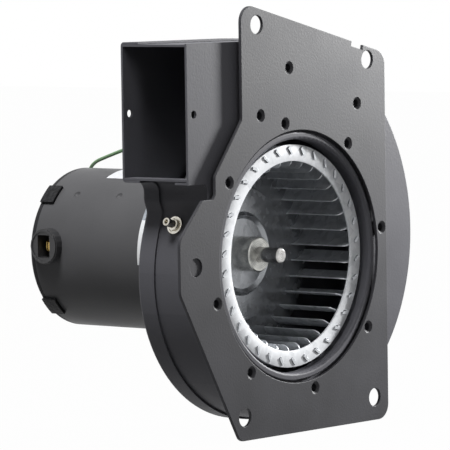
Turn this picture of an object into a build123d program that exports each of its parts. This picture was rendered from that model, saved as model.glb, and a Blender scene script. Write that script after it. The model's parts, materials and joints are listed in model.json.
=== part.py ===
from build123d import *
from math import atan, atan2, cos, degrees, hypot, pi, radians, sin, tan
import os

# Centrifugal blower: a sheet-metal scroll housing on a flat mounting plate, a
# forward-curved wheel, and an induction motor bolted behind the housing.
# Millimetres. The origin is the centre of the inlet hole on the plate's front
# face. +Y runs back along the shaft towards the motor and +Z is up.

# Mounting plate
plate_thickness = 1.5
plate_right = 72.5
plate_bottom = -90.0
plate_left = -94.8
plate_neck = -45.4
plate_top_at_axis = 119.5
plate_top_slope = -0.2413
plate_foot = -50.2
plate_left_low = -12.7
plate_left_high = 14.0
plate_shoulder = (-77.1, 32.9)
plate_step = (-67.0, 33.0)
plate_step_top = 44.2
plate_neck_low = 71.5
plate_corner = 8.0
plate_small_corner = 3.0
plate_foot_corner = 5.0
plate_edge_round = 0.3
inlet_radius = 64.6
mounting_hole_radius = 4.7
bottom_holes_z = -78.0
mounting_holes = [
    (-32.8, 118.9),
    (57.6, 98.8),
    (-46.1, bottom_holes_z),
    (60.8, bottom_holes_z),
]
knockout_place = (-82.7, 0.0)
knockout_depth = 0.8
knockout_shear = 0.05
notch_x = 49.5
notch_width = 9.4
notch_depth = 2.6

# Pressed dimples that hold the plate off the housing
dimple_height = 2.1
dimple_radius = 3.35
dimple_sink = 1.1
dimple_boss_radius = 3.9
dimple_hole_radius = 2.1
dimple_ring_radius = 69.1
dimple_ring_angles = [99, 54, 9, -36, -81, -126, 144, -163.8]
outer_dimples = [(-7.2, 96.5), (48.5, 76.4), (-30.5, 73.1)]

# Scroll housing
sheet_thickness = 1.2
sheet_front = plate_thickness + dimple_height
sheet_back = sheet_front + sheet_thickness
sheet_overhang = 0.4
housing_depth = 43.0
cover_back = sheet_front + housing_depth
cover_front = cover_back - sheet_thickness
scroll_base_radius = 97.32
scroll_growth = 0.14
scroll_start = -192.0
scroll_points = 19
cut_off_flat = 11.2
neck_x = -67.7
neck_low = 31.5
mouth_x = -83.4
duct_floor = 42.2
neck_bend = 7.0
valley_bend = 4.0
lip_radius = 59.9
lip_bend = 1.5
lip_reach = 6.0
collar_radius = 63.6
collar_bend = 0.7
collar_gap = 0.1
duct_hole = (-78.5, 75.5)
duct_hole_radius = 2.0
tab_length = 12.0
tab_reach = 8.8
rim_length = 11.2
rim_thickness = 1.0
rim_clearance = 0.1
rim_bend = 2.0
pad_radius = 50.0
pad_depth = 3.0
shaft_hole_radius = 12.0

# Wheel
wheel_radius = 57.15
wheel_eye_radius = 48.6
wheel_front = 5.7
wheel_width = 37.5
ring_thickness = 1.0
disc_thickness = 0.8
blade_count = 34
blade_phase = 2.45
blade_inner_radius = 45.6
blade_outer_radius = 56.7
blade_sweep = 6.5
blade_camber = 30.0
blade_thickness = 0.6
blade_corner = 3.6
tab_first = 0.525
tab_last = 0.845
tab_margin = 0.006
slot_clearance = 0.05
clinch_width = 1.5
clinch_height = 0.5
disc_step_radius = 35.5
disc_step = 3.8
disc_step_slope = 1.0
bead_radius = 20.0
bead_height = 1.8
hub_radius = 9.0
hub_front = 26.7
hub_spigot_radius = 6.5
hub_swage = 1.2
hub_chamfer = 0.6
set_screw_radius = 2.4
set_screw_depth = 32.0
set_screw_angle = -40.0
set_screw_sink = 0.4
set_screw_hex_radius = 1.2
set_screw_hex_depth = 2.0

# Shaft
shaft_radius = 3.97
shaft_tip = 12.4
shaft_rear_inset = 5.0
shaft_chamfer = 0.6
shaft_flat = 0.7
shaft_flat_end = 40.0
press_clearance = 0.02
running_clearance = 0.03

# Motor
motor_radius = 41.9
motor_rear = 149.0
motor_wall = 1.2
spacer_length = 8.0
shield_thickness = 1.4
shield_bend = 0.8
shaft_hole_clearance = 1.0
cap_depth = 3.6
cap_bend = 2.0
spigot_length = 4.0
fit_clearance = 0.05
bearing_radius = 8.2
bearing_length = 11.0
pocket_wall = 1.6
washer_thickness = 0.8
washer_radius = 7.2
washer_gap = 0.3
bolt_circle_radius = 36.05
bolt_phase = 45.0
bolt_count = 4
bolt_radius = 2.08
bolt_clearance = 0.3
bolt_head_width = 6.35
bolt_head_height = 3.0
bolt_proud = 0.2
nut_width = 8.73
nut_height = 3.2
spacer_radius = 4.5
stack_inset = 25.0
stack_length = 32.0
rotor_radius = 22.0
air_gap = 0.5
yoke_inner_radius = 32.5
pole_count = 4
pole_width = 18.0
pole_root = 1.0
coil_width = 3.5
coil_inner_radius = 24.5
winding_clearance = 0.3
winding_bend = 3.0
cage_ring = 4.5
cage_step = 0.6
cage_inner_radius = 15.0
vent_count = 8
vent_circle_radius = 24.0
vent_length = 14.0
vent_width = 7.0
cap_vent_width = 3.5
lug_angle = 44.0
lug_width = 15.0
lug_length = 9.0
lug_thickness = 1.5
stake_angle = 134.5
stake_insets = [23.0, 52.4]
stake_radius = 2.4
stake_dent = 1.1
cooling_radius = 30.0
cooling_plate = 1.0
cooling_gap = 2.4
cooling_hub_radius = 7.9
cooling_hub_proud = 1.0
vane_height = 2.6
vane_count = 8
vane_length = 18.0
vane_middle = 19.5

# Power socket in the shell
socket_inset = 13.7
socket_z = 3.2
socket_radius = 9.3
socket_neck_radius = 8.0
socket_proud = 4.6
socket_skirt = 2.0
socket_chamfer = 0.8
socket_depth = 11.0
recess_width = 8.2
recess_height = 12.0
recess_depth = 9.5
terminal_width = 6.3
terminal_thickness = 0.8
terminal_spacing = 4.0
long_terminal = 7.0
short_terminal = 4.5

# Pressure tap on the scroll wall
tap_y = 25.7
tap_up_flat = 4.7
tap_flange_radius = 4.6
tap_flange_height = 1.4
tap_collar_radius = 3.0
tap_collar_height = 1.4
tap_tube_radius = 2.1
tap_height = 8.0
tap_bore_radius = 1.0
tap_thread_radius = 2.4
tap_thread_proud = 0.8
tap_nut_width = 7.0
tap_nut_height = 2.2

# Labels
label_thickness = 0.12
rating_label_angles = (138.0, 186.0)
rating_label_span = (62.0, 73.9)
wiring_label_angles = (60.0, 115.0)
wiring_label_span = (78.0, 115.7)

# Ground lead, from a screw on the end cap to a screw on the back cover
lead_radius = 0.85
ring_terminal_radius = 4.0
ring_terminal_thickness = 0.8
barrel_radius = 1.6
barrel_length = 4.5
ring_to_barrel = 4.5
screw_radius = 2.0
screw_head_radius = 3.6
screw_head_height = 2.2
screw_reach = 3.0
screw_slot_width = 0.9
screw_slot_depth = 1.0
motor_ground = (18.0, 8.0)
housing_ground = (-24.0, 93.0)

# Worked-out places
disc_back = wheel_front + wheel_width
disc_front = disc_back - disc_thickness
inner_disc_front = disc_front - disc_step
pad_front = cover_front + pad_depth
pad_back = cover_back + pad_depth
shield_front = pad_back + spacer_length
shell_front = shield_front + shield_thickness
shell_back = motor_rear - cap_depth
shaft_rear = motor_rear - shaft_rear_inset
socket_y = motor_rear - socket_inset
stack_front = shell_front + stack_inset
cap_inner = motor_rear - shield_thickness
stack_back = stack_front + stack_length
shell_inner = motor_radius - motor_wall


def front_plane(y):
    """Plane at depth y, seen from the inlet side: X to the right, Z up."""
    return Plane.XZ.offset(-y)


def polar(radius, angle):
    return (radius * cos(radians(angle)), radius * sin(radians(angle)))


def scroll_radius(angle):
    return scroll_base_radius + scroll_growth * angle


def spiral_lead(angle):
    """Angle between the scroll wall and a circle about the shaft."""
    return degrees(atan(degrees(scroll_growth) / scroll_radius(angle)))


scroll_end = 90 + spiral_lead(90)
flat_direction = scroll_start + 90 - spiral_lead(scroll_start)
flat_low = polar(scroll_radius(scroll_start), scroll_start)
flat_high = (
    flat_low[0] - cut_off_flat * cos(radians(flat_direction)),
    flat_low[1] - cut_off_flat * sin(radians(flat_direction)),
)


def moved_corner(before, corner, after, grow):
    """Corner of a wall line whose outside is on its right, moved out by grow."""
    first = Vector(corner[0] - before[0], corner[1] - before[1]).normalized()
    second = Vector(after[0] - corner[0], after[1] - corner[1]).normalized()
    normals = Vector(first.Y, -first.X) + Vector(second.Y, -second.X)
    share = grow / (1 + first.dot(second))
    return (corner[0] + normals.X * share, corner[1] + normals.Y * share)


def scroll_face(grow, mouth=mouth_x):
    """Outline of the scroll and its outlet, moved outwards from the wall by grow."""
    below_flat = (
        flat_low[0] + cos(radians(flat_direction)),
        flat_low[1] + sin(radians(flat_direction)),
    )
    neck = [(mouth, duct_floor), (neck_x, duct_floor), (neck_x, neck_low)]
    corners = [*neck, flat_high, flat_low, below_flat]
    moved = [moved_corner(corners[i - 1], corners[i], corners[i + 1], grow) for i in range(1, 5)]
    step = (scroll_end - scroll_start) / (scroll_points - 1)
    angles = [scroll_start + step * i for i in range(1, scroll_points)]
    spiral = [polar(scroll_radius(a) + grow, a) for a in angles]
    roof = spiral[-1][1]
    with BuildSketch() as face:
        with BuildLine():
            wall = Polyline((mouth, duct_floor - grow), *moved)
            for point in spiral:
                wall = TangentArc(wall @ 1, point, tangent=wall % 1)
            Polyline(spiral[-1], (mouth, roof), (mouth, duct_floor - grow))
        make_face()
        bends = (neck_bend - grow, valley_bend + grow, valley_bend - grow)
        for corner, bend in zip(moved, bends):
            fillet(face.vertices().sort_by_distance(Vector(*corner))[0], bend)
    return face.sketch


# Mounting plate: flat sheet with a slanted top edge and pressed stand-offs
def plate_top(x):
    return plate_top_at_axis + plate_top_slope * x


plate_corners = [
    ((plate_foot, plate_bottom), plate_foot_corner),
    ((plate_right, plate_bottom), plate_corner),
    ((plate_right, plate_top(plate_right)), plate_corner),
    ((plate_neck, plate_top(plate_neck)), plate_corner),
    ((plate_neck, plate_neck_low), plate_small_corner),
    ((plate_step[0], plate_step_top), plate_small_corner),
    (plate_step, plate_small_corner),
    (plate_shoulder, plate_small_corner),
    ((plate_left, plate_left_high), plate_corner),
    ((plate_left, plate_left_low), plate_corner),
]
dimples = [polar(dimple_ring_radius, angle) for angle in dimple_ring_angles] + outer_dimples
top_slant = degrees(atan(plate_top_slope))

with BuildPart() as mounting_plate:
    with BuildSketch(front_plane(0)) as plate_outline:
        with BuildLine():
            Polyline(*[corner for corner, bend in plate_corners], close=True)
        make_face()
        for corner, bend in plate_corners:
            fillet(plate_outline.vertices().sort_by_distance(Vector(*corner))[0], bend)
        with Locations(Location((notch_x, plate_top(notch_x), 0), (0, 0, top_slant))):
            Rectangle(notch_width, 2 * notch_depth, mode=Mode.SUBTRACT)
        Circle(inlet_radius, mode=Mode.SUBTRACT)
        with Locations(*mounting_holes):
            Circle(mounting_hole_radius, mode=Mode.SUBTRACT)
    extrude(amount=-plate_thickness)
    fillet(mounting_plate.edges().group_by(Axis.Y)[0], plate_edge_round)
    with BuildSketch(front_plane(plate_thickness)):
        with Locations(*dimples):
            Circle(dimple_boss_radius)
    extrude(amount=-dimple_height)
    with Locations(*[(x, dimple_sink / 2, z) for x, z in dimples]):
        Cone(dimple_hole_radius, dimple_radius, dimple_sink, rotation=(90, 0, 0), mode=Mode.SUBTRACT)
    with BuildSketch(front_plane(0)):
        with Locations(*dimples):
            Circle(dimple_hole_radius)
    extrude(amount=-sheet_front, mode=Mode.SUBTRACT)
    with BuildSketch(front_plane(plate_thickness)):
        with Locations(knockout_place):
            Circle(mounting_hole_radius - knockout_shear)
    extrude(amount=-knockout_depth)
    with BuildSketch(front_plane(0)):
        with Locations(knockout_place):
            Circle(mounting_hole_radius)
    extrude(amount=-knockout_depth, mode=Mode.SUBTRACT)

# Inlet sheet: front wall of the scroll and outlet, with a collar drawn into the plate's hole
lip_end = sheet_front + lip_reach
collar_front = plate_thickness + collar_gap
collar_floor = collar_front + sheet_thickness
collar_inner = collar_radius - sheet_thickness
lip_outer = lip_radius + sheet_thickness
with BuildPart() as inlet_sheet:
    with BuildSketch(front_plane(sheet_front)):
        add(scroll_face(sheet_overhang))
        Circle(collar_radius - sheet_thickness / 2, mode=Mode.SUBTRACT)
        with Locations(duct_hole):
            Circle(duct_hole_radius, mode=Mode.SUBTRACT)
    extrude(amount=-sheet_thickness)
    with BuildSketch(Plane.XY):
        with BuildLine():
            CenterArc((lip_radius + lip_bend, collar_front + lip_bend), lip_bend, 180, 90)
            Line((lip_radius + lip_bend, collar_front), (collar_radius - collar_bend, collar_front))
            CenterArc((collar_radius - collar_bend, collar_front + collar_bend), collar_bend, 270, 90)
            Polyline(
                (collar_radius, collar_front + collar_bend),
                (collar_radius, sheet_back),
                (collar_inner, sheet_back),
                (collar_inner, collar_floor),
                (lip_outer, collar_floor),
                (lip_outer, lip_end),
                (lip_radius, lip_end),
                (lip_radius, collar_front + lip_bend),
            )
        make_face()
    revolve(axis=Axis.Y)
    with BuildSketch(Plane.XY.offset(duct_floor - sheet_overhang)):
        with Locations((mouth_x, sheet_front)):
            Rectangle(tab_length, tab_reach, align=(Align.MIN, Align.MIN))
    extrude(amount=-sheet_thickness)

# Scroll wrap: one bent strip from the outlet's roof round to its floor
past_mouth = mouth_x - sheet_thickness
wall_normal = flat_direction - 90
tap_place = (
    flat_low[0] - tap_up_flat * cos(radians(flat_direction)),
    flat_low[1] - tap_up_flat * sin(radians(flat_direction)),
)
tap_plane = Plane(
    origin=(tap_place[0], tap_y, tap_place[1]),
    x_dir=(0, 1, 0),
    z_dir=(cos(radians(wall_normal)), 0, sin(radians(wall_normal))),
)
with BuildPart() as scroll_wrap:
    with BuildSketch(front_plane(sheet_back)):
        add(scroll_face(0))
        add(scroll_face(-sheet_thickness, past_mouth), mode=Mode.SUBTRACT)
    extrude(amount=-(cover_front - sheet_back))
    with BuildSketch(tap_plane):
        Circle(tap_thread_radius + fit_clearance)
    extrude(amount=-2 * sheet_thickness, mode=Mode.SUBTRACT)

# Back cover: pan whose rim laps over the wrap, with a drawn pad for the motor
rim_outer = rim_clearance + rim_thickness
with BuildPart() as back_cover:
    with BuildSketch(front_plane(cover_back - rim_length)):
        add(scroll_face(rim_outer))
        add(scroll_face(rim_clearance, past_mouth), mode=Mode.SUBTRACT)
    extrude(amount=-rim_length)
    with BuildSketch(front_plane(cover_front)):
        add(scroll_face(rim_outer))
    extrude(amount=-sheet_thickness)
    back_edges = back_cover.faces().sort_by(Axis.Y)[-1].edges()
    fillet(back_edges.filter_by_position(Axis.X, mouth_x + rim_clearance, 2 * scroll_base_radius), rim_bend)
    with BuildSketch(front_plane(cover_front)):
        Circle(pad_radius + pad_depth)
        with Locations(duct_hole, housing_ground):
            Circle(duct_hole_radius)
    extrude(amount=-sheet_thickness, mode=Mode.SUBTRACT)
    with BuildSketch(Plane.XY):
        with BuildLine():
            Polyline(
                (pad_radius + pad_depth, cover_front),
                (pad_radius + pad_depth, cover_back),
                (pad_radius, pad_back),
                (shaft_hole_radius, pad_back),
                (shaft_hole_radius, pad_front),
                (pad_radius - sheet_thickness / 2, pad_front),
                close=True,
            )
        make_face()
    revolve(axis=Axis.Y)
    with BuildSketch(front_plane(pad_front)):
        with PolarLocations(bolt_circle_radius, bolt_count, start_angle=bolt_phase):
            Circle(bolt_radius + bolt_clearance)
    extrude(amount=-sheet_thickness, mode=Mode.SUBTRACT)


# Wheel: slotted front ring, forward-curved blades with tabs, stepped back disc
def blade_section(first, last, thickness, folded=0.0):
    """Curved blade section between two fractions of its length, widened on its outside by folded."""
    inner = polar(blade_inner_radius, 0)
    outer = polar(blade_outer_radius, blade_sweep)
    chord = hypot(outer[0] - inner[0], outer[1] - inner[1])
    bend = chord / (2 * sin(radians(blade_camber)))
    entry = degrees(atan2(outer[1] - inner[1], outer[0] - inner[0])) - blade_camber
    centre = (inner[0] + bend * cos(radians(entry + 90)), inner[1] + bend * sin(radians(entry + 90)))
    start = entry - 90 + 2 * blade_camber * first
    sweep = 2 * blade_camber * (last - first)
    with BuildSketch() as section:
        with BuildLine():
            inside = CenterArc(centre, bend - thickness / 2, start, sweep)
            outside = CenterArc(centre, bend + thickness / 2 + folded, start, sweep)
            Line(inside @ 0, outside @ 0)
            Line(inside @ 1, outside @ 1)
        make_face()
    return section.sketch


ring_back = wheel_front + ring_thickness
blade_face = blade_section(0, 1, blade_thickness)
tab_face = blade_section(tab_first, tab_last, blade_thickness)
clinch_face = blade_section(tab_first, tab_last, blade_thickness, clinch_width - blade_thickness)
slot_width = blade_thickness + 2 * slot_clearance
slot_face = blade_section(tab_first - tab_margin, tab_last + tab_margin, slot_width)

with BuildPart() as wheel_blades:
    with BuildSketch(front_plane(ring_back)):
        with PolarLocations(0, blade_count, start_angle=blade_phase):
            add(blade_face)
    extrude(amount=-(disc_front - ring_back))
    with BuildSketch(Plane.XY):
        with Locations((blade_inner_radius - blade_thickness, ring_back)):
            Rectangle(blade_corner + blade_thickness, blade_corner, align=(Align.MIN, Align.MIN))
        with Locations((blade_inner_radius + blade_corner, ring_back + blade_corner)):
            Circle(blade_corner, mode=Mode.SUBTRACT)
    revolve(axis=Axis.Y, mode=Mode.SUBTRACT)
    with BuildSketch(front_plane(wheel_front)):
        with PolarLocations(0, blade_count, start_angle=blade_phase):
            add(tab_face)
    extrude(amount=-wheel_width)
    for clinch_front in (wheel_front - clinch_height, disc_back):
        with BuildSketch(front_plane(clinch_front)):
            with PolarLocations(0, blade_count, start_angle=blade_phase):
                add(clinch_face)
        extrude(amount=-clinch_height)

with BuildPart() as wheel_front_ring:
    with BuildSketch(front_plane(wheel_front)):
        Circle(wheel_radius)
        Circle(wheel_eye_radius, mode=Mode.SUBTRACT)
    extrude(amount=-ring_thickness)
    fillet(wheel_front_ring.edges().group_by(Axis.Y)[0], ring_thickness / 3)
    with BuildSketch(front_plane(wheel_front)):
        with PolarLocations(0, blade_count, start_angle=blade_phase):
            add(slot_face)
    extrude(amount=-ring_thickness, mode=Mode.SUBTRACT)

with BuildPart() as wheel_back_disc:
    with BuildSketch(Plane.XY):
        with BuildLine():
            front_line = [
                (wheel_radius, disc_front),
                (disc_step_radius + disc_step_slope, disc_front),
                (disc_step_radius - disc_step_slope, inner_disc_front),
                (bead_radius + bead_height, inner_disc_front),
                (bead_radius, inner_disc_front - bead_height),
                (bead_radius - bead_height, inner_disc_front),
                (hub_spigot_radius, inner_disc_front),
            ]
            back_line = [(x, y + disc_thickness) for x, y in reversed(front_line)]
            Polyline(*front_line, *back_line, close=True)
        make_face()
    revolve(axis=Axis.Y)
    with BuildSketch(front_plane(disc_front)):
        with PolarLocations(0, blade_count, start_angle=blade_phase):
            add(slot_face)
    extrude(amount=-disc_thickness, mode=Mode.SUBTRACT)

set_screw_plane = Plane(
    origin=(0, set_screw_depth, 0),
    x_dir=(0, 1, 0),
    z_dir=(cos(radians(set_screw_angle)), 0, sin(radians(set_screw_angle))),
)
hub_back = inner_disc_front + disc_thickness + hub_swage
flat_height = shaft_radius - shaft_flat
with BuildPart() as wheel_hub:
    with BuildSketch(Plane.XY):
        with BuildLine():
            Polyline(
                (shaft_radius + press_clearance, hub_front),
                (hub_radius, hub_front),
                (hub_radius, inner_disc_front),
                (hub_spigot_radius, inner_disc_front),
                (hub_spigot_radius, hub_back - hub_swage),
                (hub_spigot_radius + hub_swage, hub_back - hub_swage),
                (hub_spigot_radius + hub_swage, hub_back),
                (shaft_radius + press_clearance, hub_back),
                close=True,
            )
        make_face()
    revolve(axis=Axis.Y)
    chamfer(wheel_hub.edges().group_by(Axis.Y)[0].sort_by(SortBy.RADIUS)[-1], hub_chamfer)
    with BuildSketch(set_screw_plane):
        Circle(set_screw_radius + fit_clearance)
    extrude(amount=hub_radius, mode=Mode.SUBTRACT)

with BuildPart() as hub_set_screw:
    with BuildSketch(set_screw_plane.offset(flat_height)):
        Circle(set_screw_radius)
    extrude(amount=hub_radius - flat_height - set_screw_sink)
    with BuildSketch(set_screw_plane.offset(hub_radius - set_screw_sink)):
        RegularPolygon(set_screw_hex_radius, 6)
    extrude(amount=-set_screw_hex_depth, mode=Mode.SUBTRACT)

# Shaft with a flat under the set screw
with BuildPart() as shaft:
    with BuildSketch(front_plane(shaft_tip)):
        Circle(shaft_radius)
    extrude(amount=-(shaft_rear - shaft_tip))
    chamfer(shaft.edges().group_by(Axis.Y)[0] + shaft.edges().group_by(Axis.Y)[-1], shaft_chamfer)
    with BuildSketch(front_plane(shaft_tip)):
        with Locations(Location((0, 0, 0), (0, 0, set_screw_angle))):
            with Locations((flat_height, 0)):
                Rectangle(shaft_radius, 2 * shaft_radius, align=(Align.MIN, Align.CENTER))
    extrude(amount=-(shaft_flat_end - shaft_tip), mode=Mode.SUBTRACT)

# Cooling disc between the motor and the housing
cooling_front = pad_back + cooling_gap
cooling_hub_front = cooling_front - cooling_hub_proud
cooling_hub_length = cooling_hub_proud + cooling_plate + vane_height
with BuildPart() as cooling_disc:
    with BuildSketch(front_plane(cooling_front)):
        Circle(cooling_radius)
    extrude(amount=-cooling_plate)
    with BuildSketch(front_plane(cooling_hub_front)):
        Circle(cooling_hub_radius)
    extrude(amount=-cooling_hub_length)
    with BuildSketch(front_plane(cooling_front + cooling_plate)):
        with PolarLocations(vane_middle, vane_count):
            Rectangle(vane_length, cooling_plate)
    extrude(amount=-vane_height)
    with BuildSketch(front_plane(cooling_hub_front)):
        Circle(shaft_radius + press_clearance)
    extrude(amount=-cooling_hub_length, mode=Mode.SUBTRACT)

# Motor shell: rolled tube with staking dents and the socket's hole
socket_plane = Plane(origin=(0, socket_y, socket_z), x_dir=(0, -1, 0), z_dir=(-1, 0, 0))
with BuildPart() as motor_shell:
    with BuildSketch(front_plane(shell_front)):
        Circle(motor_radius)
        Circle(shell_inner, mode=Mode.SUBTRACT)
    extrude(amount=-(shell_back - shell_front))
    for inset in stake_insets:
        dent = polar(motor_radius + stake_radius - stake_dent, stake_angle)
        with Locations((dent[0], motor_rear - inset, dent[1])):
            Sphere(stake_radius, mode=Mode.SUBTRACT)
    with BuildSketch(socket_plane):
        Circle(socket_neck_radius + fit_clearance)
    extrude(amount=2 * motor_radius, mode=Mode.SUBTRACT)

# Front shield of the motor, with the bearing pocket behind it
pocket_radius = bearing_radius + pocket_wall
front_bearing_front = shell_front
with BuildPart() as motor_front_shield:
    with BuildSketch(front_plane(shield_front)):
        Circle(motor_radius)
    extrude(amount=-shield_thickness)
    fillet(motor_front_shield.edges().group_by(Axis.Y)[0], shield_bend)
    with BuildSketch(front_plane(shell_front)):
        Circle(shell_inner - fit_clearance)
        Circle(shell_inner - fit_clearance - shield_thickness, mode=Mode.SUBTRACT)
    extrude(amount=-spigot_length)
    with BuildSketch(front_plane(shell_front)):
        Circle(pocket_radius)
    extrude(amount=-bearing_length)
    with BuildSketch(front_plane(shell_front)):
        Circle(bearing_radius)
    extrude(amount=-bearing_length, mode=Mode.SUBTRACT)
    with BuildSketch(front_plane(shield_front)):
        Circle(shaft_radius + shaft_hole_clearance)
        with PolarLocations(bolt_circle_radius, bolt_count, start_angle=bolt_phase):
            Circle(bolt_radius + bolt_clearance)
        with PolarLocations(vent_circle_radius, vent_count, start_angle=180 / vent_count):
            SlotOverall(vent_length, vent_width, rotation=90)
    extrude(amount=-shield_thickness, mode=Mode.SUBTRACT)

# End cap: drawn cup with vents, a bearing pocket and lugs bent over the shell
rear_bearing_front = cap_inner - bearing_length
lug_angles = [lug_angle, 180 - lug_angle, 180 + lug_angle, -lug_angle]
with BuildPart() as motor_end_cap:
    with BuildSketch(Plane.XY):
        with BuildLine():
            Polyline(
                (shell_inner, shell_back),
                (motor_radius, shell_back),
                (motor_radius, motor_rear),
                (0, motor_rear),
                (0, cap_inner),
                (shell_inner, cap_inner),
                close=True,
            )
        make_face()
    revolve(axis=Axis.Y)
    fillet(motor_end_cap.edges().group_by(Axis.Y)[-1], cap_bend)
    with BuildSketch(front_plane(rear_bearing_front)):
        Circle(pocket_radius)
        Circle(bearing_radius, mode=Mode.SUBTRACT)
    extrude(amount=-bearing_length)
    with BuildSketch(front_plane(cap_inner)):
        with PolarLocations(bolt_circle_radius, bolt_count, start_angle=bolt_phase):
            Circle(bolt_radius + bolt_clearance)
        with PolarLocations(vent_circle_radius, vent_count):
            SlotOverall(vent_length, cap_vent_width, rotation=90)
        with Locations(motor_ground):
            Circle(screw_radius + fit_clearance)
    extrude(amount=-shield_thickness, mode=Mode.SUBTRACT)
    with BuildSketch(front_plane(shell_back - lug_length + cap_bend)):
        for angle in lug_angles:
            half = radians(lug_width / 2)
            far = 2 * motor_radius
            with Locations(Location((0, 0, 0), (0, 0, angle))):
                Polygon((0, 0), (far, -far * tan(half)), (far, far * tan(half)), align=None)
        Circle(motor_radius + fit_clearance + lug_thickness, mode=Mode.INTERSECT)
        Circle(motor_radius + fit_clearance, mode=Mode.SUBTRACT)
    extrude(amount=-(lug_length - cap_bend))
    with BuildSketch(front_plane(shell_back)):
        for angle in lug_angles:
            with Locations(Location((0, 0, 0), (0, 0, angle))):
                Polygon((0, 0), (far, -far * tan(half)), (far, far * tan(half)), align=None)
        Circle(motor_radius + fit_clearance + lug_thickness, mode=Mode.INTERSECT)
        Circle(shell_inner, mode=Mode.SUBTRACT)
    extrude(amount=-cap_bend)


# Bearings, thrust washers and the electrical parts inside the shell
def ring_part(inner, outer, front, length):
    with BuildPart() as ring:
        with BuildSketch(front_plane(front)):
            Circle(outer)
            Circle(inner, mode=Mode.SUBTRACT)
        extrude(amount=-length)
    return ring


bearing_bore = shaft_radius + running_clearance
front_bearing = ring_part(bearing_bore, bearing_radius, front_bearing_front, bearing_length)
rear_bearing = ring_part(bearing_bore, bearing_radius, rear_bearing_front, bearing_length)

with BuildPart() as thrust_washers:
    washer_fronts = (
        front_bearing_front + bearing_length + washer_gap,
        rear_bearing_front - washer_thickness - washer_gap,
    )
    for front in washer_fronts:
        with BuildSketch(front_plane(front)):
            Circle(washer_radius)
            Circle(shaft_radius + press_clearance, mode=Mode.SUBTRACT)
        extrude(amount=-washer_thickness)

with BuildPart() as stator_core:
    with BuildSketch(front_plane(stack_front)):
        Circle(shell_inner - fit_clearance)
        Circle(yoke_inner_radius, mode=Mode.SUBTRACT)
        with PolarLocations(0, pole_count):
            Rectangle(yoke_inner_radius + pole_root, pole_width, align=(Align.MIN, Align.CENTER))
        Circle(rotor_radius + air_gap, mode=Mode.SUBTRACT)
        with PolarLocations(bolt_circle_radius, bolt_count, start_angle=bolt_phase):
            Circle(bolt_radius + bolt_clearance, mode=Mode.SUBTRACT)
    extrude(amount=-stack_length)

coil_reach = pole_width / 2 + coil_width
coil_outer = (yoke_inner_radius**2 - coil_reach**2) ** 0.5 - winding_clearance
with BuildPart() as stator_coils:
    for pole in range(pole_count):
        angle = radians(360 / pole_count * pole)
        direction = (cos(angle), 0, sin(angle))
        middle = Plane(origin=(0, stack_front + stack_length / 2, 0), x_dir=(0, 1, 0), z_dir=direction)
        with BuildSketch(middle.offset(coil_inner_radius)):
            RectangleRounded(stack_length + 2 * coil_width, 2 * coil_reach, winding_bend)
            Rectangle(stack_length + winding_clearance, pole_width + winding_clearance, mode=Mode.SUBTRACT)
        extrude(amount=coil_outer - coil_inner_radius)

rotor_core = ring_part(shaft_radius + press_clearance, rotor_radius, stack_front, stack_length)
with BuildPart() as rotor_cage:
    for front in (stack_front - cage_ring, stack_back):
        with BuildSketch(front_plane(front)):
            Circle(rotor_radius - cage_step)
            Circle(cage_inner_radius, mode=Mode.SUBTRACT)
        extrude(amount=-cage_ring)

# Through bolts that hold the motor together and to the housing
bolt_tip = pad_front - nut_height - bolt_proud
with BuildPart() as through_bolts:
    with BuildSketch(front_plane(bolt_tip)):
        with PolarLocations(bolt_circle_radius, bolt_count, start_angle=bolt_phase):
            Circle(bolt_radius)
    extrude(amount=-(motor_rear - bolt_tip))
    with BuildSketch(front_plane(motor_rear)):
        with PolarLocations(bolt_circle_radius, bolt_count, start_angle=bolt_phase):
            RegularPolygon(bolt_head_width / 2, 6, major_radius=False)
    extrude(amount=-bolt_head_height)

with BuildPart() as mount_nuts:
    with BuildSketch(front_plane(pad_front - nut_height)):
        with PolarLocations(bolt_circle_radius, bolt_count, start_angle=bolt_phase):
            RegularPolygon(nut_width / 2, 6, major_radius=False)
            Circle(bolt_radius + press_clearance, mode=Mode.SUBTRACT)
    extrude(amount=-nut_height)

with BuildPart() as mount_spacers:
    with BuildSketch(front_plane(pad_back)):
        with PolarLocations(bolt_circle_radius, bolt_count, start_angle=bolt_phase):
            Circle(spacer_radius)
            Circle(bolt_radius + bolt_clearance, mode=Mode.SUBTRACT)
    extrude(amount=-spacer_length)

# Power socket: round moulding in the shell, with two blade contacts
socket_face = motor_radius + socket_proud
with BuildPart() as power_socket:
    with BuildSketch(socket_plane.offset(socket_face)):
        Circle(socket_radius)
    extrude(amount=-(socket_proud + socket_skirt))
    chamfer(power_socket.edges().group_by(Axis.X)[0], socket_chamfer)
    with BuildSketch(front_plane(socket_y - 2 * socket_radius)):
        Circle(motor_radius + fit_clearance)
    extrude(amount=-4 * socket_radius, mode=Mode.SUBTRACT)
    with BuildSketch(socket_plane.offset(socket_face - socket_chamfer)):
        Circle(socket_neck_radius)
    extrude(amount=-(socket_depth - socket_chamfer))
    with BuildSketch(socket_plane.offset(socket_face)):
        Rectangle(recess_width, recess_height)
    extrude(amount=-recess_depth, mode=Mode.SUBTRACT)

recess_floor = socket_face - recess_depth
with BuildPart() as power_terminals:
    for side, height in ((1, long_terminal), (-1, short_terminal)):
        with BuildSketch(socket_plane.offset(recess_floor)):
            with Locations((side * terminal_spacing / 2, 0)):
                Rectangle(terminal_thickness, terminal_width)
        extrude(amount=height)

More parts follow.
